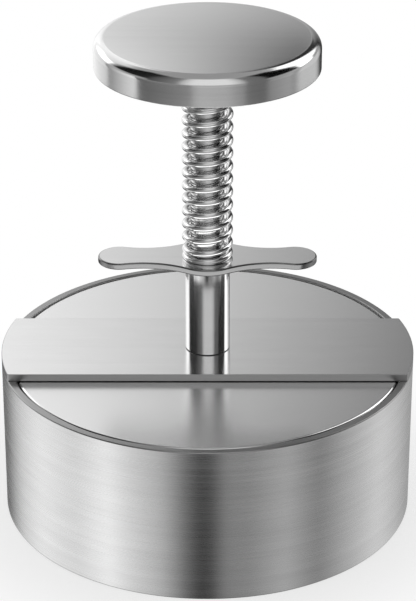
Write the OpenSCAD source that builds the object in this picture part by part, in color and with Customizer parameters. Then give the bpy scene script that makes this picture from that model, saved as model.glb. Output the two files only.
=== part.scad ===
// Patty press: an open mould ring, a bridge bar across it that carries a guide
// tube and a finger plate, and a plunger that slides in the tube against a spring.
// Millimetres, +Z up. The origin is the centre of the ring's bottom rim, where the
// press stands on the table. The bridge and the finger plate lie along X.

/* [Mould] */
// Outside diameter of the mould ring
ring_od = 112; // [90:1:140]
// Height of the mould ring
ring_h = 43.6; // [30:0.1:60]
// Wall of the mould ring
ring_wall = 2; // [1:0.1:3]
// Chamfer on the rims of the mould ring
rim_chamfer = 0.3; // [0.1:0.1:0.4]
// Width of the bridge bar, front to back
bridge_w = 34; // [20:1:60]
// Thickness of the bridge bar
bridge_t = 2; // [1.5:0.1:4]

/* [Guide tube] */
// Free height of the guide tube, from the bridge to the finger plate
tube_h = 25.4; // [18:0.1:50]
// Wall of the guide tube
tube_wall = 1.4; // [1:0.1:3]
// Wall of the two spigots that hold the tube in the bridge and in the finger plate
spigot_wall = 0.8; // [0.4:0.1:0.9]

/* [Finger plate] */
// Length of the finger plate, tip to tip
finger_span = 58.6; // [45:0.2:90]
// Thickness of the finger plate
finger_t = 1.8; // [1.2:0.1:3]
// Width of the hub's rim that shows outside the spring
hub_rim = 3.1; // [1.5:0.1:6]
// Radius of the round tips
finger_tip_r = 5.75; // [4:0.05:9]
// Radius of the four hollows that lead from the hub to the tips
finger_scoop_r = 22.3; // [15:0.1:40]

/* [Plunger] */
// Diameter of the plunger rod
rod_d = 9; // [7:0.1:14]
// Thickness of the press plate
plate_t = 2.5; // [1.8:0.1:5]
// Chamfer round the top edge of the press plate
plate_chamfer = 0.8; // [0.2:0.1:1.2]
// Thread diameter of the countersunk screw that holds the press plate
screw_d = 5; // [3:0.5:5]
// Thread length of that screw in the rod
screw_grip = 8; // [5:0.5:15]
// Width across the flats of the hexagon socket in its head
socket_w = 3; // [1.5:0.5:3.5]
// Depth of that socket
socket_h = 1.9; // [1:0.1:3]

/* [Return spring] */
// Diameter of the spring wire
wire_d = 1.8; // [1:0.1:2.4]
// Length of the spring as fitted, with the plunger up
spring_len = 52.4; // [43:0.1:80]
// Number of turns, closed end turns included
spring_turns = 15.4; // [10:0.1:18.5]
// Air gap between the closed end turns
closed_gap = 0.45; // [0.42:0.01:1]
// Share of the wire's thickness left at each ground tip
ground_share = 0.3; // [0.3:0.05:0.5]
// Angle of the lower tip about the tube, counted from +X
spring_start = -30; // [-180:5:180]

/* [Knob] */
// Diameter of the knob
knob_d = 59; // [40:1:80]
// Height of the knob
knob_h = 8.2; // [6:0.1:16]
// Radius of the knob's top edge
knob_edge_r = 2.8; // [1.8:0.1:4]
// Wall of the knob's shell
shell_wall = 1.2; // [0.8:0.1:1.5]
// Thickness of the disc that closes the knob from below
base_t = 1.2; // [0.8:0.1:2]
// Wall of the tapped boss inside the knob
boss_wall = 5; // [2:0.5:10]
// Thickness of the washer between the spring and the knob
washer_t = 1; // [0.6:0.1:1.5]

/* [Clearances] */
// Radial running clearance of the rod in the guide tube
rod_fit = 0.1; // [0.05:0.01:0.1]
// Radial room between the rod and the spring
spring_fit = 0.5; // [0.4:0.05:1]
// Gap all round between the press plate and the mould ring
plate_fit = 0.5; // [0.3:0.1:1]
// Gap between the press plate at rest and the bridge
rest_gap = 0.2; // [0.1:0.05:1]

/* [Hidden] */
$fn = 96;

// Small clearances, steps and edges
seat_fit = 0.03;    // radial, in fixed seats and threads
hole_fit = 0.1;     // radial, round the screw and the stud where they pass through
spring_gap = 0.1;   // between the spring and the finger plate
spin_gap = 0.15;    // between the washer and the knob, which turns on it
cut = 1;            // how far a cutting tool runs past the face that it cuts
edge_break = 0.3;   // chamfer on turned edges
plate_land = 0.4;   // of the press plate, left above the screw's head
tap_end = 2;        // depth of the tapped hole past the screw's end
washer_rim = 0.7;   // of the washer, outside the spring
stud_step = 0.5;    // from the rod's side in to the stud's

// Mould
ring_r = ring_od / 2;
mould_r = ring_r - ring_wall;
bridge_z = ring_h;

// Guide tube, with a bore for the rod
bore_r = rod_d / 2 + rod_fit;
tube_r = bore_r + tube_wall;
spigot_r = bore_r + spigot_wall;
tube_z = bridge_z + bridge_t;
finger_z = tube_z + tube_h;

// Return spring, round the rod, and the washer on it
coil_r = rod_d / 2 + spring_fit + wire_d / 2;
spring_r = coil_r + wire_d / 2;
washer_r = spring_r + washer_rim;
spring_z = finger_z + finger_t + spring_gap;
washer_z = spring_z + spring_len;

// Press plate and its screw, whose head is sunk in the plate
plate_r = mould_r - plate_fit;
plate_z = bridge_z - rest_gap - plate_t;
screw_head_h = plate_t - plate_land;
screw_head_r = screw_d / 2 + screw_head_h;

// Knob, screwed to a stud that is a step smaller than the rod
knob_r = knob_d / 2;
knob_z = washer_z + washer_t + spin_gap;
stud_r = rod_d / 2 - stud_step;
boss_h = knob_h - base_t - shell_wall;
stud_h = base_t + boss_h - edge_break;

steel_brushed = "#b9bbbd";
steel_satin = "#c9cacc";
steel_polished = "#dcdee0";

function above(z, points) = [for (p = points) [p[0], p[1] + z]];

// Points along an arc, all but its last.
arc_steps = 12;
function arc(centre, r, from, to) =
    [for (i = [0:arc_steps - 1]) let (a = from + (to - from) * i / arc_steps) centre + r * [cos(a), sin(a)]];

// Ring turned about Z from a section given as [radius, height] points.
module turned(z, points) {
    rotate_extrude() polygon(above(z, points));
}

// ---- Mould ----

module mould_ring() {
    c = rim_chamfer;
    color(steel_brushed) turned(0, [
        [mould_r + c, 0], [ring_r - c, 0], [ring_r, c], [ring_r, ring_h - c],
        [ring_r - c, ring_h], [mould_r + c, ring_h], [mould_r, ring_h - c], [mould_r, c]
    ]);
}

// Flat bar whose ends follow the ring's outside, with a hole for the tube's lower spigot.
module bridge_bar() {
    color(steel_satin) difference() {
        intersection() {
            translate([-ring_r - cut, -bridge_w / 2, bridge_z])
                cube([ring_od + 2 * cut, bridge_w, bridge_t]);
            translate([0, 0, bridge_z - cut])
                cylinder(r = ring_r, h = bridge_t + 2 * cut);
        }
        translate([0, 0, bridge_z - cut])
            cylinder(r = spigot_r + seat_fit, h = bridge_t + 2 * cut);
    }
}

// Tube with a shoulder at each end: it stands on the bridge and carries the finger plate.
module guide_tube() {
    c = edge_break;
    color(steel_polished) turned(bridge_z, [
        [bore_r, c], [bore_r + c, 0], [spigot_r, 0], [spigot_r, bridge_t], [tube_r, bridge_t],
        [tube_r, bridge_t + tube_h], [spigot_r, bridge_t + tube_h],
        [spigot_r, bridge_t + tube_h + finger_t], [bore_r + c, bridge_t + tube_h + finger_t],
        [bore_r, bridge_t + tube_h + finger_t - c]
    ]);
}

// ---- Finger plate ----

hub_r = spring_r + hub_rim;
tip_x = finger_span / 2 - finger_tip_r;

// Centre of the hollow that touches both the hub and a tip from outside.
scoop_from_hub = hub_r + finger_scoop_r;
scoop_from_tip = finger_tip_r + finger_scoop_r;
scoop_x = (tip_x * tip_x + scoop_from_hub * scoop_from_hub - scoop_from_tip * scoop_from_tip) / (2 * tip_x);
scoop_y = sqrt(scoop_from_hub * scoop_from_hub - scoop_x * scoop_x);

// A quarter of the outline: round the tip, along the hollow and up the hub.
hub_touch = atan2(scoop_y, scoop_x);
tip_touch = atan2(scoop_y, scoop_x - tip_x);
finger_quarter = concat(
    arc([tip_x, 0], finger_tip_r, 0, tip_touch),
    arc([scoop_x, scoop_y], finger_scoop_r, tip_touch - 180, hub_touch - 180),
    arc([0, 0], hub_r, hub_touch, 90),
    [[0, hub_r]]
);
finger_return = [for (i = [len(finger_quarter) - 2:-1:1]) finger_quarter[i]];

module finger_plate() {
    color(steel_satin) translate([0, 0, finger_z]) linear_extrude(finger_t) difference() {
        polygon(concat(
            finger_quarter, [for (p = finger_return) [-p[0], p[1]]],
            -finger_quarter, [for (p = finger_return) [p[0], -p[1]]]
        ));
        circle(r = spigot_r + seat_fit);
    }
}

// ---- Return spring ----
// One unbroken wire with closed, ground ends. The rise of each turn grows from the closed
// pitch to the open one over the second turn, and shrinks again over the last but one.

turn_steps = 8;     // sections of the wire in one turn
wire_sides = 6;     // of each section
closed_pitch = wire_d + closed_gap;
tip_drop = (0.5 - ground_share) * wire_d;        // how far the wire's centre at a tip is past its seat
coil_rise = spring_len + 2 * tip_drop;           // of the wire's centre, tip to tip
open_turns = spring_turns - 4;
open_pitch = (coil_rise - 3 * closed_pitch) / (open_turns + 1);
end_rise = 2 * closed_pitch + (open_pitch - closed_pitch) / 2;

// Height of the wire's centre after t turns, from the lower tip.
function rise_from_end(t) =
    t <= 1 ? closed_pitch * t : closed_pitch * t + (open_pitch - closed_pitch) * pow(t - 1, 2) / 2;
function rise(t) =
    t < 2 ? rise_from_end(t)
    : t <= spring_turns - 2 ? end_rise + open_pitch * (t - 2)
    : coil_rise - rise_from_end(spring_turns - t);
function coil_point(t) =
    let (a = spring_start + 360 * t) [coil_r * cos(a), coil_r * sin(a), spring_z - tip_drop + rise(t)];
function ground(p) = [p[0], p[1], min(max(p[2], spring_z), washer_z)];

// One section of the wire, upright in the plane through the spring's axis, cut by the two seats.
function wire_section(t) =
    let (a = spring_start + 360 * t, c = coil_point(t))
    [for (k = [0:wire_sides - 1])
        let (b = 360 * (k + 0.5) / wire_sides, out = wire_d / 2 * cos(b), up = wire_d / 2 * sin(b))
        ground(c + [out * cos(a), out * sin(a), up])];

module return_spring() {
    n = wire_sides;
    last = round(spring_turns * turn_steps);
    low = round(0.75 * n - 0.5);     // the lowest corner, from which both caps fan out
    points = [for (i = [0:last]) each wire_section(spring_turns * i / last)];
    sides = [for (i = [0:last - 1], k = [0:n - 1])
        let (a = i * n + k, b = i * n + (k + 1) % n) each [[a, b, b + n], [a, b + n, a + n]]];
    fans = [for (k = [1:n - 2]) [low, (low + k) % n, (low + k + 1) % n]];
    caps = [for (f = fans) each [[f[0], f[2], f[1]], [for (k = f) last * n + k]]];
    color(steel_polished) polyhedron(points, concat(sides, caps));
}

// Least distance between turns, measured over points of the wire's centre.
gap_steps = 24;
least_gap = min([for (i = [0:(spring_turns - 1) * gap_steps], j = [-4:4])
    let (t = i / gap_steps, u = t + 1 + j / gap_steps)
    if (u <= spring_turns) norm(coil_point(u) - coil_point(t)) - wire_d]);
echo(least_spring_gap = least_gap);
echo(travel_to_coil_bind = spring_len - spring_turns * wire_d);

// Plain washer that the knob turns on.
module spring_washer() {
    color(steel_satin) turned(washer_z, [
        [bore_r, 0], [washer_r, 0], [washer_r, washer_t], [bore_r, washer_t]
    ]);
}

// ---- Plunger ----

// Round rod, drilled and tapped below for the plate's screw, with a shouldered stud on top.
module plunger_rod() {
    c = edge_break;
    color(steel_polished) difference() {
        turned(0, [
            [0, plate_z + plate_t], [rod_d / 2, plate_z + plate_t], [rod_d / 2, knob_z],
            [stud_r, knob_z], [stud_r, knob_z + stud_h - c], [stud_r - c, knob_z + stud_h],
            [0, knob_z + stud_h]
        ]);
        translate([0, 0, plate_z + plate_t - cut])
            cylinder(r = screw_d / 2 + seat_fit, h = cut + screw_grip + tap_end);
    }
}

// Disc with a chamfered top edge and a countersunk hole from below.
module press_plate() {
    c = plate_chamfer;
    hole_r = screw_d / 2 + hole_fit;
    sink_r = screw_head_r + seat_fit;
    color(steel_satin) turned(plate_z, [
        [sink_r, 0], [plate_r, 0], [plate_r, plate_t - c], [plate_r - c, plate_t],
        [hole_r, plate_t], [hole_r, sink_r - hole_r]
    ]);
}

// Countersunk screw, put in from below, with a hexagon socket.
module plate_screw() {
    color(steel_polished) difference() {
        turned(plate_z, [
            [0, 0], [screw_head_r, 0], [screw_d / 2, screw_head_h],
            [screw_d / 2, plate_t + screw_grip], [0, plate_t + screw_grip]
        ]);
        translate([0, 0, plate_z - cut])
            cylinder(r = socket_w / 2 / cos(30), h = cut + socket_h, $fn = 6);
    }
}

// ---- Knob ----

// Half section of a disc with a round top edge.
module rounded_disc_section(r, h, edge) {
    square([r - edge, h]);
    square([r, h - edge]);
    translate([r - edge, h - edge]) circle(r = edge);
}

// Drawn cap, open below.
module knob_shell() {
    color(steel_satin) translate([0, 0, knob_z]) rotate_extrude() difference() {
        rounded_disc_section(knob_r, knob_h, knob_edge_r);
        translate([0, -cut])
            rounded_disc_section(knob_r - shell_wall, knob_h - shell_wall + cut, knob_edge_r - shell_wall);
    }
}

// Disc that closes the shell, flush with its rim.
module knob_base() {
    base_r = knob_r - shell_wall - seat_fit;
    hole_r = stud_r + hole_fit;
    color(steel_satin) turned(knob_z, [[hole_r, 0], [base_r, 0], [base_r, base_t], [hole_r, base_t]]);
}

// Tapped boss that takes the rod's stud and carries the push of the palm.
module knob_boss() {
    c = edge_break;
    tap_r = stud_r + seat_fit;
    boss_r = stud_r + boss_wall;
    color(steel_brushed) turned(knob_z + base_t, [
        [tap_r, 0], [boss_r, 0], [boss_r, boss_h - c], [boss_r - c, boss_h], [tap_r, boss_h]
    ]);
}

mould_ring();
bridge_bar();
guide_tube();
finger_plate();
return_spring();
spring_washer();
plunger_rod();
press_plate();
plate_screw();
knob_shell();
knob_base();
knob_boss();
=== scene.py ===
import math

import bpy
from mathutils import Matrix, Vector


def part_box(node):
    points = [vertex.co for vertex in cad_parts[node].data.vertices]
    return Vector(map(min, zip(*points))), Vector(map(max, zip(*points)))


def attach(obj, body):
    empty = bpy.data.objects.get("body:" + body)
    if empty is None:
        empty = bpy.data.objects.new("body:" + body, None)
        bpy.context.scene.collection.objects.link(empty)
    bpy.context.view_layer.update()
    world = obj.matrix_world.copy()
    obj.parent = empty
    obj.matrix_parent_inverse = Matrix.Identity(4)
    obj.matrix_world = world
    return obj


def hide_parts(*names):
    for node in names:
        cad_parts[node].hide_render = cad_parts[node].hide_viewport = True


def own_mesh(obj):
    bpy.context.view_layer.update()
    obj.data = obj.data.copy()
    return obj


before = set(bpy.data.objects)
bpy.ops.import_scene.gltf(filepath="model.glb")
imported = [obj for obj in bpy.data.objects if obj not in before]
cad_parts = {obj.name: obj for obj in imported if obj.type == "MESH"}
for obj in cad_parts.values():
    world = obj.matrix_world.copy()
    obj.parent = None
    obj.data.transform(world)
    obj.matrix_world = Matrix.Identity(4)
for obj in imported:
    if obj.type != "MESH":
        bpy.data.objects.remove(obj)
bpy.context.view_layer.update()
mm = 0.001


camera = {
    "aim": (0.00014, 0, 0.0593),
    "distance": 0.6636,
    "elevation": 25.84,      # degrees above the table
    "lens": 147.1,
    "sensor": 36,
    "clip": (0.05, 20),
}


def addCamera(settings):
    lens = bpy.data.cameras.new("camera")
    lens.lens = settings["lens"]
    lens.sensor_width = settings["sensor"]
    lens.clip_start, lens.clip_end = settings["clip"]
    shot = bpy.data.objects.new("camera", lens)
    bpy.context.collection.objects.link(shot)
    tilt = math.radians(settings["elevation"])
    back = Vector((0, -math.cos(tilt), math.sin(tilt)))
    shot.location = Vector(settings["aim"]) + back * settings["distance"]
    shot.rotation_mode = "QUATERNION"
    shot.rotation_quaternion = (-back).to_track_quat("-Z", "Y")
    bpy.context.scene.camera = shot
    print("camera: set")


# a section is a list of corners (out, up, fillet, finish of the run that follows, finish of the fillet)
def roundSection(corners, closed=True, steps=6):
    points = []      # (place, side, finish of the face that leads here)
    count = len(corners)
    for i, (x, z, fillet, finish, *own) in enumerate(corners):
        before = (Vector((x, z)) - Vector(corners[i - 1][:2])).normalized()
        after = (Vector(corners[(i + 1) % count][:2]) - Vector((x, z))).normalized()
        sideIn = Vector((before.y, -before.x))
        sideOut = Vector((after.y, -after.x))
        bend = math.atan2(before.x * after.y - before.y * after.x, before.dot(after))
        finishIn = corners[i - 1][3]
        filletFinish = own[0] if own else finish
        if not closed and i == 0:
            points.append((Vector((x, z)), sideOut, finish))
        elif not closed and i == count - 1:
            points.append((Vector((x, z)), sideIn, finishIn))
        elif fillet <= 0:
            points.append((Vector((x, z)), sideIn, finishIn))
            points.append((Vector((x, z)), sideOut, finish))
        else:
            turn = math.copysign(1, bend)
            centre = Vector((x, z)) - before * fillet * math.tan(abs(bend) / 2) - sideIn * fillet * turn
            for k in range(steps + 1):
                a = bend * k / steps
                side = Vector((sideIn.x * math.cos(a) - sideIn.y * math.sin(a),
                               sideIn.x * math.sin(a) + sideIn.y * math.cos(a)))
                points.append((centre + side * fillet * turn, side, finishIn if k == 0 else filletFinish))
    return points


def meshFromRings(name, rings, finishes, materials, closed=True):
    # rings: for each point of the section, a ring of (place, normal), or one point on the axis
    places, normals, faces, slots, index = [], [], [], [], []
    for ring in rings:
        index.append(range(len(places), len(places) + len(ring)))
        places += [tuple(place) for place, normal in ring]
        normals += [tuple(normal) for place, normal in ring]
    for i in range(len(rings) if closed else len(rings) - 1):
        low, high = index[i], index[(i + 1) % len(rings)]
        if (rings[i][0][0] - rings[(i + 1) % len(rings)][0][0]).length < 1e-9:
            continue      # a sharp corner: only the normal changes
        count = max(len(low), len(high))
        for j in range(count):
            k = (j + 1) % count
            face = [low[j % len(low)], low[k % len(low)], high[k % len(high)], high[j % len(high)]]
            if len(low) == 1:
                face.pop(1)
            if len(high) == 1:
                face.pop()
            faces.append(face)
            slots.append(finishes[(i + 1) % len(rings)])
    mesh = bpy.data.meshes.new(name)
    mesh.from_pydata(places, [], faces)
    for material in materials:
        mesh.materials.append(material)
    mesh.polygons.foreach_set("material_index", slots)
    mesh.polygons.foreach_set("use_smooth", [True] * len(faces))
    mesh.normals_split_custom_set_from_vertices(normals)
    mesh.update()
    return addObject(name, mesh)


def addObject(name, mesh):
    piece = bpy.data.objects.new(name, mesh)
    bpy.context.collection.objects.link(piece)
    return piece


def turned(name, corners, materials, segments=192, steps=6):
    closed = corners[0][0] > 0      # a solid piece starts and ends on the axis
    section = roundSection(corners, closed, steps)
    rings = []
    for place, side, _ in section:
        ring = []
        for j in range(segments if place.x > 1e-7 else 1):
            a = 2 * math.pi * j / segments
            out = Vector((math.cos(a), math.sin(a), 0))
            up = Vector((0, 0, 1))
            ring.append((out * place.x + up * place.y, out * side.x + up * side.y))
        rings.append(ring)
    return meshFromRings(name, rings, [finish for _, _, finish in section], materials, closed)


def cutPlate(name, outline, hole, low, high, edge, materials, steps=6):
    # outline: (x, y, normal x, normal y), once round; finish 0 is the flat, 1 is the edge and the hole
    inset = -2 * edge
    corners = [(inset, low, 0, 0), (0, low, edge, 1), (0, high, edge, 0, 1), (inset, high, 0, 0)]
    section = roundSection(corners, False, steps)
    rings = []
    for place, side, _ in section:
        ring = []
        for x, y, nx, ny in outline:
            ring.append((Vector((x + nx * place.x, y + ny * place.x, place.y)),
                         Vector((nx * side.x, ny * side.x, side.y))))
        rings.append(ring)
    around = [Vector((x, y, 0)).normalized() for x, y, _, _ in outline]
    up = Vector((0, 0, 1))
    rings.append([(out * hole + up * high, up) for out in around])
    rings.append([(out * hole + up * high, -out) for out in around])
    rings.append([(out * hole + up * low, -out) for out in around])
    rings.append([(out * hole + up * low, -up) for out in around])
    finishes = [finish for _, _, finish in section] + [0, 1, 1, 1]
    finishes[0] = 0
    return meshFromRings(name, rings, finishes, materials)


def arc(centre, radius, start, end, steps, hollow=False):
    # outline points along an arc, without its last; a hollow one has its normals towards the centre
    points = []
    for k in range(steps):
        a = start + (end - start) * k / steps
        side = -1 if hollow else 1
        points.append((centre[0] + radius * math.cos(a), centre[1] + radius * math.sin(a),
                       side * math.cos(a), side * math.sin(a)))
    return points


def allRound(quarter):
    # the whole outline from its first quarter, from the +X end to the +Y side
    back = quarter[-2:0:-1]
    outline = quarter + [(-x, y, -nx, ny) for x, y, nx, ny in back]
    outline += [(-x, -y, -nx, -ny) for x, y, nx, ny in quarter]
    return outline + [(x, -y, nx, -ny) for x, y, nx, ny in back]


def seat(piece, body, finish, *replaced):
    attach(piece, body)
    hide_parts(*replaced)


def addNode(tree, kind, inputs=None, **settings):
    node = tree.nodes.new(kind)
    for key, value in settings.items():
        setattr(node, key, value)
    for key, value in (inputs or {}).items():
        if isinstance(value, bpy.types.NodeSocket):
            tree.links.new(value, node.inputs[key])
        else:
            node.inputs[key].default_value = value
    return node


def addMath(tree, operation, *values):
    return addNode(tree, "ShaderNodeMath", dict(enumerate(values)), operation=operation).outputs[0]


def addNoise(tree, place, scale, detail, roughness):
    settings = {"Vector": place, "Scale": scale, "Detail": detail, "Roughness": roughness}
    return addNode(tree, "ShaderNodeTexNoise", settings).outputs["Fac"]


def makeGrainGroup():
    # streaks left by a belt or a wheel: tone, roughness and depth, from coordinates already stretched
    group = bpy.data.node_groups.new("steelGrain", "ShaderNodeTree")
    face = group.interface
    for name in ("Vector", "Cloud Vector"):
        face.new_socket(name, in_out="INPUT", socket_type="NodeSocketVector")
    for name in ("Bright", "Tone Spread", "Cloud Spread", "Roughness", "Roughness Spread"):
        face.new_socket(name, in_out="INPUT", socket_type="NodeSocketFloat")
    face.new_socket("Color", in_out="OUTPUT", socket_type="NodeSocketColor")
    face.new_socket("Roughness", in_out="OUTPUT", socket_type="NodeSocketFloat")
    face.new_socket("Height", in_out="OUTPUT", socket_type="NodeSocketFloat")
    given = addNode(group, "NodeGroupInput").outputs
    put = addNode(group, "NodeGroupOutput")
    fine = addNoise(group, given["Vector"], 1.0, 5.0, 0.65)
    wide = addNoise(group, given["Vector"], 0.13, 3.0, 0.6)
    cloud = addNoise(group, given["Cloud Vector"], 1.0, 4.0, 0.6)
    drift = addMath(group, "SUBTRACT", cloud, 0.5)
    base = addMath(group, "MULTIPLY_ADD", drift, given["Cloud Spread"], given["Bright"])
    both = addMath(group, "ADD", fine, wide)
    middle = addMath(group, "SUBTRACT", both, 1.0)
    tone = addMath(group, "MULTIPLY_ADD", middle, given["Tone Spread"], base)
    color = addNode(group, "ShaderNodeCombineColor", {"Red": tone, "Green": tone, "Blue": tone})
    rough = addMath(group, "MULTIPLY_ADD", middle, given["Roughness Spread"], given["Roughness"])
    group.links.new(color.outputs["Color"], put.inputs["Color"])
    group.links.new(rough, put.inputs["Roughness"])
    group.links.new(fine, put.inputs["Height"])
    return group


cloudFinest = 260      # scale of the soft patches is never finer than this


def makeSteel(name, grain, settings):
    material = bpy.data.materials.new(name)
    material.use_nodes = True
    tree = material.node_tree
    shader = tree.nodes["Principled BSDF"]
    shader.inputs["Metallic"].default_value = settings.get("metal", 1)
    place = addNode(tree, "ShaderNodeTexCoord").outputs["Object"]
    broad = [min(4 * scale, cloudFinest) for scale in settings["streaks"]]
    stretch = addNode(tree, "ShaderNodeMapping", {"Vector": place, "Scale": settings["streaks"]})
    spread = addNode(tree, "ShaderNodeMapping", {"Vector": place, "Scale": broad})
    streaks = addNode(tree, "ShaderNodeGroup", node_tree=grain)
    tree.links.new(stretch.outputs[0], streaks.inputs["Vector"])
    tree.links.new(spread.outputs[0], streaks.inputs["Cloud Vector"])
    streaks.inputs["Bright"].default_value = settings["bright"]
    streaks.inputs["Tone Spread"].default_value = settings["toneSpread"]
    streaks.inputs["Cloud Spread"].default_value = settings.get("cloud", 0)
    streaks.inputs["Roughness"].default_value = settings["rough"]
    streaks.inputs["Roughness Spread"].default_value = settings["roughSpread"]
    scratches = {"Height": streaks.outputs["Height"], "Strength": settings["bump"],
                 "Distance": settings["depth"]}
    bump = addNode(tree, "ShaderNodeBump", scratches)
    tree.links.new(streaks.outputs["Color"], shader.inputs["Base Color"])
    tree.links.new(streaks.outputs["Roughness"], shader.inputs["Roughness"])
    tree.links.new(bump.outputs[0], shader.inputs["Normal"])
    if "spread" in settings:
        shader.inputs["Anisotropic"].default_value = settings["spread"]
        shader.inputs["Anisotropic Rotation"].default_value = settings["turn"]
        around = addNode(tree, "ShaderNodeTangent", direction_type="RADIAL", axis=settings["axis"])
        tree.links.new(around.outputs[0], shader.inputs["Tangent"])
    return material


grain = makeGrainGroup()
# streaks: how fine along x, y and z; bright and rough: the middle values; depth of the scratches in metres;
# spread, turn and axis: only where the brushed lines pull a highlight out
steels = {
    "ringSide": dict(
        streaks=(12, 12, 2600), bright=0.76, toneSpread=0.14, cloud=0.14, rough=0.27, roughSpread=0.10,
        bump=0.25, depth=0.00002, spread=0.7, turn=0.25, axis="Z"),
    # the rim's turned face, brushed round like the side, with its base colour set far darker than the
    # side's: painted shade for the dark the rim shows
    "ringRimPaintedShade": dict(
        streaks=(12, 12, 2000), bright=0.36, toneSpread=0.08, rough=0.30, roughSpread=0.08, bump=0.1,
        depth=0.00001, spread=0.8, turn=0.25, axis="Z"),
    "ringInside": dict(
        streaks=(12, 12, 2000), bright=0.70, toneSpread=0.08, rough=0.34, roughSpread=0.08, bump=0.2,
        depth=0.00002, spread=0.7, turn=0.25, axis="Z"),
    "barTop": dict(
        streaks=(22, 2400, 2400), bright=0.76, toneSpread=0.06, cloud=0.04, rough=0.17, roughSpread=0.05,
        bump=0.05, depth=0.00001, metal=0.99, spread=0.4, turn=0, axis="X"),
    "barEdge": dict(
        streaks=(22, 2400, 2400), bright=0.36, toneSpread=0.08, rough=0.35, roughSpread=0.06, bump=0.1,
        depth=0.00001),
    "tubePolish": dict(
        streaks=(8, 8, 1500), bright=0.72, toneSpread=0.10, rough=0.08, roughSpread=0.03, bump=0.04,
        depth=0.00001, spread=0.65, turn=0.25, axis="Z"),
    "rodPolish": dict(
        streaks=(8, 8, 1500), bright=0.80, toneSpread=0.08, rough=0.12, roughSpread=0.03, bump=0.02,
        depth=0.00001, spread=0.8, turn=0.25, axis="Z"),
    "wirePolish": dict(
        streaks=(300, 300, 300), bright=0.80, toneSpread=0.05, rough=0.05, roughSpread=0.05, bump=0.01,
        depth=0.00001),
    "plateTop": dict(
        streaks=(30, 900, 900), bright=0.80, toneSpread=0.02, rough=0.24, roughSpread=0.02, bump=0.01,
        depth=0.00001, metal=0.99),
    "plateEdge": dict(
        streaks=(30, 30, 1500), bright=0.78, toneSpread=0.04, rough=0.12, roughSpread=0.03, bump=0.02,
        depth=0.00001),
    "wingTop": dict(
        streaks=(30, 2200, 2200), bright=0.73, toneSpread=0.05, cloud=0.03, rough=0.15, roughSpread=0.05,
        bump=0.05, depth=0.00001, metal=0.99, spread=0.3, turn=0, axis="X"),
    "wingEdge": dict(
        streaks=(60, 60, 1500), bright=0.24, toneSpread=0.06, rough=0.16, roughSpread=0.05, bump=0.05,
        depth=0.00001),
    "knobTop": dict(
        streaks=(26, 2000, 2000), bright=0.78, toneSpread=0.04, rough=0.14, roughSpread=0.04, bump=0.03,
        depth=0.00001),
    "knobRound": dict(
        streaks=(60, 60, 60), bright=0.80, toneSpread=0.03, rough=0.13, roughSpread=0.03, bump=0.01,
        depth=0.00001),
    "knobSide": dict(
        streaks=(20, 20, 2200), bright=0.74, toneSpread=0.10, cloud=0.05, rough=0.22, roughSpread=0.08,
        bump=0.15, depth=0.00002, spread=0.7, turn=0.25, axis="Z"),
    # painted shade: a near-black, dull steel on the tube's recessed grooves, standing in for the shade down
    # in these crevices
    "paintedCreviceShade": dict(
        streaks=(200, 200, 1200), bright=0.05, toneSpread=0.02, rough=0.6, roughSpread=0.1, bump=0.08,
        depth=0.00001, metal=0.5),
    "plainSteel": dict(
        streaks=(200, 200, 1200), bright=0.68, toneSpread=0.06, rough=0.28, roughSpread=0.08, bump=0.08,
        depth=0.00001),
}
steel = {name: makeSteel(name, grain, settings) for name, settings in steels.items()}
print("materials:", len(steel), "steels")


mouldRing = {"wall": 2 * mm, "rimRound": 0.3 * mm, "innerRound": 0.2 * mm}


def addMouldRing(settings):
    low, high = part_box("mould_ring")
    outer, inner, r, e = high.x, high.x - settings["wall"], settings["rimRound"], settings["innerRound"]
    corners = [(inner, low.z, e, 1), (outer, low.z, r, 0, 1), (outer, high.z, r, 1),
               (inner, high.z, e, 2, 1)]
    finishes = [steel["ringSide"], steel["ringRimPaintedShade"], steel["ringInside"]]
    piece = turned("mouldRing", corners, finishes, segments=256)
    seat(piece, "mould", "brushed_ring", "mould_ring")
    print("mould ring: made")


bridgeBar = {"edge": 0.15 * mm, "corner": 0.5 * mm, "cornerSteps": 6, "hole": 5.43 * mm, "steps": 16}


def addBridgeBar(settings):
    low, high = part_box("bridge_bar")
    corner, steps = settings["corner"], settings["steps"]
    reach = high.x - corner
    turn = math.asin((high.y - corner) / reach)
    quarter = arc((0, 0), high.x, 0, turn, steps)
    side = reach * math.cos(turn)
    quarter += arc((side, high.y - corner), corner, turn, math.pi / 2, settings["cornerSteps"])
    quarter += [(side * (1 - k / steps), high.y, 0, 1) for k in range(steps + 1)]
    piece = cutPlate("bridgeBar", allRound(quarter), settings["hole"], low.z, high.z, settings["edge"],
                     [steel["barTop"], steel["barEdge"]])
    seat(piece, "mould", "satin_sheet", "bridge_bar")
    print("bridge bar: made")


guideTube = {"bore": 4.6 * mm, "spigot": 5.4 * mm, "edge": 0.12 * mm, "seam": 0.22 * mm}


def addGuideTube(settings):
    low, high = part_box("guide_tube")
    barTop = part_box("bridge_bar")[1].z
    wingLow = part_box("finger_plate")[0].z
    bore, spigot, e, seam = settings["bore"], settings["spigot"], settings["edge"], settings["seam"]
    side, neck = high.x, high.x - seam
    # finish 1 on the recessed necks at the bar and under the finger plate is painted shade, the darkness of
    # these crevices
    corners = [(bore, low.z, e, 0), (spigot, low.z, e, 0), (spigot, barTop, 0, 1), (neck, barTop, 0, 1),
               (neck, barTop + seam, 0, 1), (side, barTop + seam, e / 2, 0),
               (side, wingLow - seam, e / 2, 1), (neck, wingLow - seam, 0, 1),
               (neck, wingLow, 0, 1), (spigot, wingLow, 0, 0),
               (spigot, high.z, e, 0), (bore, high.z, e, 0)]
    piece = turned("guideTube", corners, [steel["tubePolish"], steel["paintedCreviceShade"]], segments=128)
    seat(piece, "mould", "polished_tube", "guide_tube")
    print("guide tube: made")


fingerPlate = {
    "hub": 9.9 * mm,         # radii: round the tube, of each wing's end, of the hollow between them
    "tip": 5.75 * mm,
    "scoop": 22.3 * mm,
    "edge": 0.4 * mm,
    "hole": 5.43 * mm,
    "steps": 20,
}


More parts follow.
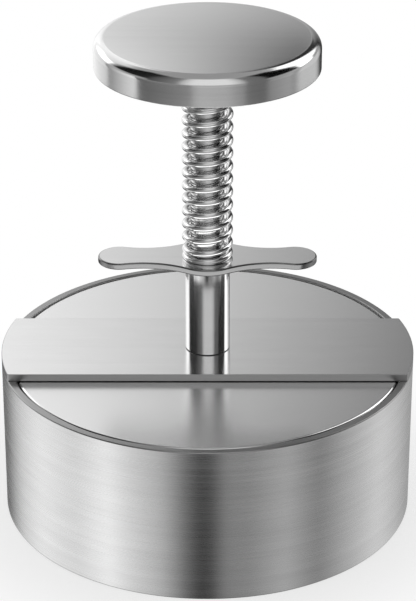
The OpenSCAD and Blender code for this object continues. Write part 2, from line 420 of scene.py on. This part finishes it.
def addFingerPlate(settings):
    low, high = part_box("finger_plate")
    hub, tip, scoop, n = settings["hub"], settings["tip"], settings["scoop"], settings["steps"]
    tipX = high.x - tip
    fromHub, fromTip = hub + scoop, tip + scoop
    x = (tipX ** 2 + fromHub ** 2 - fromTip ** 2) / (2 * tipX)
    y = math.sqrt(fromHub ** 2 - x ** 2)
    hubTouch, tipTouch = math.atan2(y, x), math.atan2(y, x - tipX)
    quarter = arc((tipX, 0), tip, 0, tipTouch, n)
    quarter += arc((x, y), scoop, tipTouch - math.pi, hubTouch - math.pi, n, hollow=True)
    quarter += arc((0, 0), hub, hubTouch, math.pi / 2, n // 2)
    quarter.append((0, hub, 0, 1))
    piece = cutPlate("fingerPlate", allRound(quarter), settings["hole"], low.z, high.z, settings["edge"],
                     [steel["wingTop"], steel["wingEdge"]])
    seat(piece, "mould", "satin_sheet", "finger_plate")
    print("finger plate: made")


returnSpring = {
    "wire": 1.8 * mm,
    "turns": 15.6,
    "closedPitch": 1.8 * mm,       # the wire's own thickness: the end turns touch
    "closedTurns": 0.95,           # at each end, before the pitch opens
    "openingTurns": 0.4,           # over which it opens
    "groundShare": 0.3,            # of the wire's thickness, left at each ground tip
    "startAngle": 102,             # degrees, of the lower tip
    "rodGap": 0.5 * mm,            # between the wire and the rod
    "creaseAngle": 35,             # a sharper edge than this stays sharp: the ground ends
    "stepsPerTurn": 48,
    "sides": 20,
}


def addReturnSpring(settings):
    low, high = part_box("return_spring")
    wire, turns = settings["wire"] / 2, settings["turns"]
    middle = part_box("plunger_rod")[1].x + settings["rodGap"] + wire
    drop = (0.5 - settings["groundShare"]) * settings["wire"]
    closed, opening = settings["closedTurns"], settings["openingTurns"]
    rise = high.z - low.z + 2 * drop
    endTurns = closed + opening
    # pitch of the open turns, from the height that the two ends leave
    endLow = settings["closedPitch"] * (closed + opening / 2)
    pitch = (rise - 2 * endLow) / (turns - 2 * endTurns + opening)

    def endRise(t):
        if t <= closed:
            return settings["closedPitch"] * t
        u = t - closed
        return settings["closedPitch"] * t + (pitch - settings["closedPitch"]) * u * u / (2 * opening)

    def height(t):
        if t <= endTurns:
            return endRise(t)
        if t >= turns - endTurns:
            return rise - endRise(turns - t)
        return endRise(endTurns) + pitch * (t - endTurns)

    steps = round(turns * settings["stepsPerTurn"])
    sides = settings["sides"]
    places, faces = [], []
    for i in range(steps + 1):
        t = turns * i / steps
        a = math.radians(settings["startAngle"]) + 2 * math.pi * t
        z = low.z - drop + height(t)
        for k in range(sides):
            b = 2 * math.pi * k / sides
            r = middle + wire * math.cos(b)
            up = min(max(z + wire * math.sin(b), low.z), high.z)
            places.append((r * math.cos(a), r * math.sin(a), up))
    for i in range(steps):
        for k in range(sides):
            m = (k + 1) % sides
            faces.append((i * sides + k, i * sides + m, (i + 1) * sides + m, (i + 1) * sides + k))
    faces.append(tuple(range(sides - 1, -1, -1)))
    faces.append(tuple(range(steps * sides, (steps + 1) * sides)))
    mesh = bpy.data.meshes.new("returnSpring")
    mesh.from_pydata(places, [], faces)
    mesh.materials.append(steel["wirePolish"])
    mesh.polygons.foreach_set("use_smooth", [True] * len(faces))
    mesh.set_sharp_from_angle(angle=math.radians(settings["creaseAngle"]))
    mesh.update()
    piece = addObject("returnSpring", mesh)
    seat(piece, "spring", "spring_wire", "return_spring")
    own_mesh(piece)
    print("return spring: made, pitch", round(pitch * 1000, 2), "mm")


plungerRod = {"edge": 0.15 * mm, "stud": 4 * mm}      # the stud's radius, inside the knob


def addPlungerRod(settings):
    low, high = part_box("plunger_rod")
    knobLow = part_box("knob_base")[0].z
    e = settings["edge"]
    stud = settings["stud"]
    corners = [(0, low.z, 0, 0), (high.x, low.z, e, 0), (high.x, knobLow, e, 0), (stud, knobLow, 0, 0),
               (stud, high.z, e, 0), (0, high.z, 0, 0)]
    piece = turned("plungerRod", corners, [steel["rodPolish"]], segments=128)
    seat(piece, "plunger", "polished_rod", "plunger_rod")
    print("plunger rod: made")


pressPlate = {"edgeRound": 0.7 * mm, "hole": 2.6 * mm, "sink": 4.63 * mm, "edge": 0.12 * mm}


def addPressPlate(settings):
    low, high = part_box("press_plate")
    r, e = settings["edgeRound"], settings["edge"]
    hole, sink = settings["hole"], settings["sink"]
    corners = [(sink, low.z, 0, 0), (high.x, low.z, e, 1), (high.x, high.z, r, 0, 1), (hole, high.z, 0, 0),
               (hole, low.z + sink - hole, 0, 0)]
    piece = turned("pressPlate", corners, [steel["plateTop"], steel["plateEdge"]], segments=256)
    seat(piece, "plunger", "satin_plate", "press_plate")
    print("press plate: made")


knobShell = {"edgeRound": 2.8 * mm, "wall": 1.2 * mm, "lip": 0.3 * mm}


def addKnobShell(settings):
    low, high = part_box("knob_shell")
    r, wall, lip = settings["edgeRound"], settings["wall"], settings["lip"]
    inner = high.x - wall
    corners = [(0, high.z - wall, 0, 2), (inner, high.z - wall, r - wall, 2), (inner, low.z, 0, 2),
               (high.x, low.z, lip, 2), (high.x, high.z, r, 0, 1), (0, high.z, 0, 0)]
    finishes = [steel["knobTop"], steel["knobRound"], steel["knobSide"]]
    piece = turned("knobShell", corners, finishes, steps=16)
    seat(piece, "plunger", "knob_satin", "knob_shell")
    print("knob shell: made")


def finishHiddenNodes():
    for name in ("spring_washer", "plate_screw", "knob_base", "knob_boss"):
        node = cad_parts[name]
        node.data.materials.clear()
        node.data.materials.append(steel["plainSteel"])
    print("small turned pieces: finished")


studio = {
    "middle": 0.06,            # height about which the cards stand
    "light": 0.85,             # what lights the floor and the dull part of the steel
    "floorSize": 3,
    "paper": 0.92,             # tone of the floor
    "shadow": 0.6,             # how far the floor's shadow is thinned near the press
    "shadowReach": (0.058, 0.105),      # radii between which it fades out
}

# azimuth 0 is the front and + is to the right; elevation is from the studio's middle; in degrees
# name: azimuths, elevations, tones from the first azimuth to the last, distance, share of soft edge
panels = {
    "dome": ((-180, 180), (-90, 90), (0.34, 0.34), 0.62, (0.0001, 0.0001)),
    "backLow": ((150, 210), (2, 33), (0.0, 1.34), 0.30, (0.02, 0.03)),
    "backHigh": ((171, 196), (32, 47), (0.0, 1.36), 0.31, (0.02, 0.12)),
    "rightBack": ((146, 172), (-30, 60), (0.03, 0.03), 0.50, (0.12, 0.12)),
    "leftBack": ((-170, -108), (-25, 60), (1.15, 0.75), 0.50, (0.1, 0.12)),
    "leftStrip": ((-150, -106), (12, 36), (1.8, 1.8), 0.45, (0.2, 0.2)),
    "leftFlag": ((-106, -56), (8, 70), (0.0, 0.02), 0.49, (0.12, 0.12)),
    "leftGrey": ((-66, -24), (5, 66), (0.02, 0.25), 0.50, (0.2, 0.1)),
    "leftLow": ((-116, -72), (-30, 10), (0.25, 1.0), 0.47, (0.03, 0.1)),
    "leftLowGrey": ((-76, -14), (-30, 6), (0.12, 0.28), 0.48, (0.04, 0.1)),
    "front": ((-34, 42), (4, 70), (0.85, 0.85), 0.51, (0.3, 0.15)),
    "frontLow": ((-22, 34), (-30, 6), (0.55, 0.46), 0.49, (0.3, 0.1)),
    "rightGrey": ((34, 64), (-30, 66), (0.18, 0.14), 0.50, (0.2, 0.1)),
    "rightLowGrey": ((60, 92), (-30, 12), (0.28, 0.45), 0.50, (0.1, 0.1)),
    "rightLow": ((94, 146), (-30, 14), (0.68, 0.64), 0.50, (0.2, 0.1)),
    "rightFlag": ((56, 102), (14, 68), (0.0, 0.0), 0.49, (0.12, 0.12)),
    "leftBelow": ((-112, -56), (5, 21), (0.45, 0.30), 0.485, (0.12, 0.2)),
    "rightBelow": ((56, 106), (5, 21), (0.30, 0.45), 0.485, (0.12, 0.2)),
    "rightStrip": ((100, 148), (20, 62), (1.5, 1.5), 0.48, (0.15, 0.12)),
    "rightGlint": ((98, 128), (14, 34), (2.2, 2.2), 0.45, (0.2, 0.2)),
}

# bands of card about the press, with their tone against azimuth
fence = {      # what the mould ring's side shows
    "radius": 0.13,
    "low": -0.35,
    "high": 0.03,
    "tones": [(-180, 0.20), (-134, 0.10), (-125, 0.15), (-117, 0.38), (-106, 0.72), (-97, 0.90),
              (-86, 1.05), (-62, 0.84), (-45, 1.14), (-35, 0.84), (-20, 0.54), (-9, 0.14), (-3, 0.02),
              (2, 0.05), (8, 0.25), (18, 0.27), (35, 0.48), (51, 0.24), (66, 0.46), (90, 0.78),
              (108, 0.60), (127, 0.38), (180, 0.20)],
}
collar = {     # what the rod and the spring show
    "radius": 0.041,
    "low": 0.078,
    "high": 0.118,
    "tones": [(-100, 0.50), (-84, 0.16), (-55, 0.17), (-30, 0.32), (0, 0.56), (18, 0.50), (38, 0.20),
              (75, 0.02), (100, 0.10)],
}
tray = {       # what the underside of each turn shows, seen from above only
    "inner": 0.0165,
    "outer": 0.041,
    "level": 0.066,
    "spread": 62,
    "tone": 1.7,
}


def blankMaterial(name):
    material = bpy.data.materials.new(name)
    material.use_nodes = True
    material.node_tree.nodes.clear()
    return material, material.node_tree


def addCard(name, places, faces, spots, material):
    # a card that is seen only in reflections; spots: how far along and up each place is, from 0 to 1
    mesh = bpy.data.meshes.new(name)
    mesh.from_pydata(places, [], faces)
    uv = mesh.uv_layers.new(name="card")
    for loop in mesh.loops:
        uv.data[loop.index].uv = spots[loop.vertex_index]
    mesh.materials.append(material)
    card = addObject(name, mesh)
    card.visible_camera = False
    card.visible_diffuse = False
    card.visible_shadow = False
    card.visible_transmission = False


def ringPlace(radius, azimuth, height):
    a = math.radians(azimuth)
    return (radius * math.sin(a), -radius * math.cos(a), height)


def between(ends, share):
    return ends[0] + (ends[1] - ends[0]) * share


def addPanel(name, azimuths, elevations, tones, distance, feather):
    # a piece of a sphere
    steps = 16
    places, faces, spots = [], [], []
    for i in range(steps + 1):
        for j in range(steps + 1):
            e = math.radians(between(elevations, j / steps))
            places.append(ringPlace(distance * math.cos(e), between(azimuths, i / steps),
                                    studio["middle"] + distance * math.sin(e)))
            spots.append((i / steps, j / steps))
    for i in range(steps):
        for j in range(steps):
            k = i * (steps + 1) + j
            faces.append((k, k + 1, k + steps + 2, k + steps + 1))
    addCard(name, places, faces, spots, panelMaterial(name, tones, feather))


def panelMaterial(name, tones, feather):
    material, tree = blankMaterial(name)
    spot = addNode(tree, "ShaderNodeUVMap", uv_map="card")
    split = addNode(tree, "ShaderNodeSeparateXYZ", {0: spot.outputs[0]})
    ends = {"Value": split.outputs["X"], "To Min": tones[0], "To Max": tones[1]}
    across = addNode(tree, "ShaderNodeMapRange", ends)
    shine = addNode(tree, "ShaderNodeEmission", {"Strength": across.outputs[0]})
    edges = []
    for axis, soft in (("X", feather[0]), ("Y", feather[1])):
        away = addMath(tree, "ABSOLUTE", addMath(tree, "SUBTRACT", split.outputs[axis], 0.5))
        fade = {"Value": away, "From Min": 0.5 - soft, "From Max": 0.5, "To Min": 1.0, "To Max": 0.0}
        edges.append(addNode(tree, "ShaderNodeMapRange", fade, interpolation_type="SMOOTHSTEP").outputs[0])
    cover = addMath(tree, "MULTIPLY", *edges)
    clear = addNode(tree, "ShaderNodeBsdfTransparent")
    mix = addNode(tree, "ShaderNodeMixShader", {0: cover, 1: clear.outputs[0], 2: shine.outputs[0]})
    addNode(tree, "ShaderNodeOutputMaterial", {"Surface": mix.outputs[0]})
    return material


def addStrip(name, start, end, steps, inside, outside, material):
    # part of the way round; inside and outside: (radius, height) of its two edges
    places, faces, spots = [], [], []
    for i in range(steps + 1):
        for (radius, height), v in ((inside, 0), (outside, 1)):
            places.append(ringPlace(radius, between((start, end), i / steps), height))
            spots.append((i / steps, v))
    for i in range(steps):
        faces.append((2 * i, 2 * i + 1, 2 * i + 3, 2 * i + 2))
    addCard(name, places, faces, spots, material)


def addBand(name, settings):
    tones, radius = settings["tones"], settings["radius"]
    start, end = tones[0][0], tones[-1][0]
    material, tree = blankMaterial(name)
    spot = addNode(tree, "ShaderNodeUVMap", uv_map="card")
    split = addNode(tree, "ShaderNodeSeparateXYZ", {0: spot.outputs[0]})
    ramp = addNode(tree, "ShaderNodeValToRGB", {"Fac": split.outputs["X"]})
    stops = ramp.color_ramp.elements
    stops.remove(stops[-1])
    for n, (azimuth, tone) in enumerate(tones):
        share = (azimuth - start) / (end - start)
        stop = stops[0] if n == 0 else stops.new(share)
        stop.position = share
        stop.color = (tone, tone, tone, 1)
    shine = addNode(tree, "ShaderNodeEmission", {"Color": ramp.outputs["Color"]})
    addNode(tree, "ShaderNodeOutputMaterial", {"Surface": shine.outputs[0]})
    addStrip(name, start, end, 180, (radius, settings["low"]), (radius, settings["high"]), material)


def addTray(settings):
    material, tree = blankMaterial("tray")
    side = addNode(tree, "ShaderNodeNewGeometry").outputs["Backfacing"]
    shine = addNode(tree, "ShaderNodeEmission", {"Strength": settings["tone"]})
    clear = addNode(tree, "ShaderNodeBsdfTransparent")
    mix = addNode(tree, "ShaderNodeMixShader", {0: side, 1: shine.outputs[0], 2: clear.outputs[0]})
    addNode(tree, "ShaderNodeOutputMaterial", {"Surface": mix.outputs[0]})
    spread, level = settings["spread"], settings["level"]
    inner, outer = (settings["inner"], level), (settings["outer"], level)
    addStrip("tray", -spread, spread, 60, inner, outer, material)


def addFloor(settings):
    size = settings["floorSize"]
    mesh = bpy.data.meshes.new("floor")
    places = [(-size, -size, 0), (size, -size, 0), (size, size, 0), (-size, size, 0)]
    mesh.from_pydata(places, [], [(0, 1, 2, 3)])
    floor = addObject("floor", mesh)
    floor.visible_glossy = False
    material, tree = blankMaterial("floor")
    place = addNode(tree, "ShaderNodeTexCoord").outputs["Object"]
    away = addNode(tree, "ShaderNodeVectorMath", {0: place}, operation="LENGTH").outputs["Value"]
    paper = addNode(tree, "ShaderNodeBsdfDiffuse", {"Color": (*[settings["paper"]] * 3, 1)})
    white = addNode(tree, "ShaderNodeEmission")
    near, far = settings["shadowReach"]
    reach = {"Value": away, "From Min": near, "From Max": far, "To Min": settings["shadow"], "To Max": 1.0}
    fade = addNode(tree, "ShaderNodeMapRange", reach, interpolation_type="SMOOTHSTEP").outputs[0]
    ray = addNode(tree, "ShaderNodeLightPath").outputs
    seen = addMath(tree, "MAXIMUM", ray["Is Camera Ray"], ray["Is Transmission Ray"])
    share = addMath(tree, "MULTIPLY", fade, seen)
    mix = addNode(tree, "ShaderNodeMixShader", {0: share, 1: paper.outputs[0], 2: white.outputs[0]})
    addNode(tree, "ShaderNodeOutputMaterial", {"Surface": mix.outputs[0]})
    mesh.materials.append(material)


def addWorld(settings):
    world = bpy.data.worlds.new("studio")
    bpy.context.scene.world = world
    world.use_nodes = True
    tree = world.node_tree
    tree.nodes.clear()
    ray = addNode(tree, "ShaderNodeLightPath").outputs
    seen = addMath(tree, "MAXIMUM", ray["Is Camera Ray"], ray["Is Glossy Ray"])
    seen = addMath(tree, "MAXIMUM", seen, ray["Is Transmission Ray"])
    soft = addNode(tree, "ShaderNodeBackground", {"Color": (1, 1, 1, 1), "Strength": settings["light"]})
    white = addNode(tree, "ShaderNodeBackground", {"Color": (1, 1, 1, 1), "Strength": 1.0})
    mix = addNode(tree, "ShaderNodeMixShader", {0: seen, 1: soft.outputs[0], 2: white.outputs[0]})
    addNode(tree, "ShaderNodeOutputWorld", {"Surface": mix.outputs[0]})


def addStudio(settings):
    bpy.context.scene.view_settings.view_transform = "Standard"
    addWorld(settings)
    addFloor(settings)
    addBand("fence", fence)
    addBand("collar", collar)
    addTray(tray)
    for name, panel in panels.items():
        addPanel(name, *panel)
    print("studio:", len(panels) + 3, "cards")


addCamera(camera)
addMouldRing(mouldRing)
addBridgeBar(bridgeBar)
addGuideTube(guideTube)
addFingerPlate(fingerPlate)
addReturnSpring(returnSpring)
addPlungerRod(plungerRod)
addPressPlate(pressPlate)
addKnobShell(knobShell)
finishHiddenNodes()
addStudio(studio)
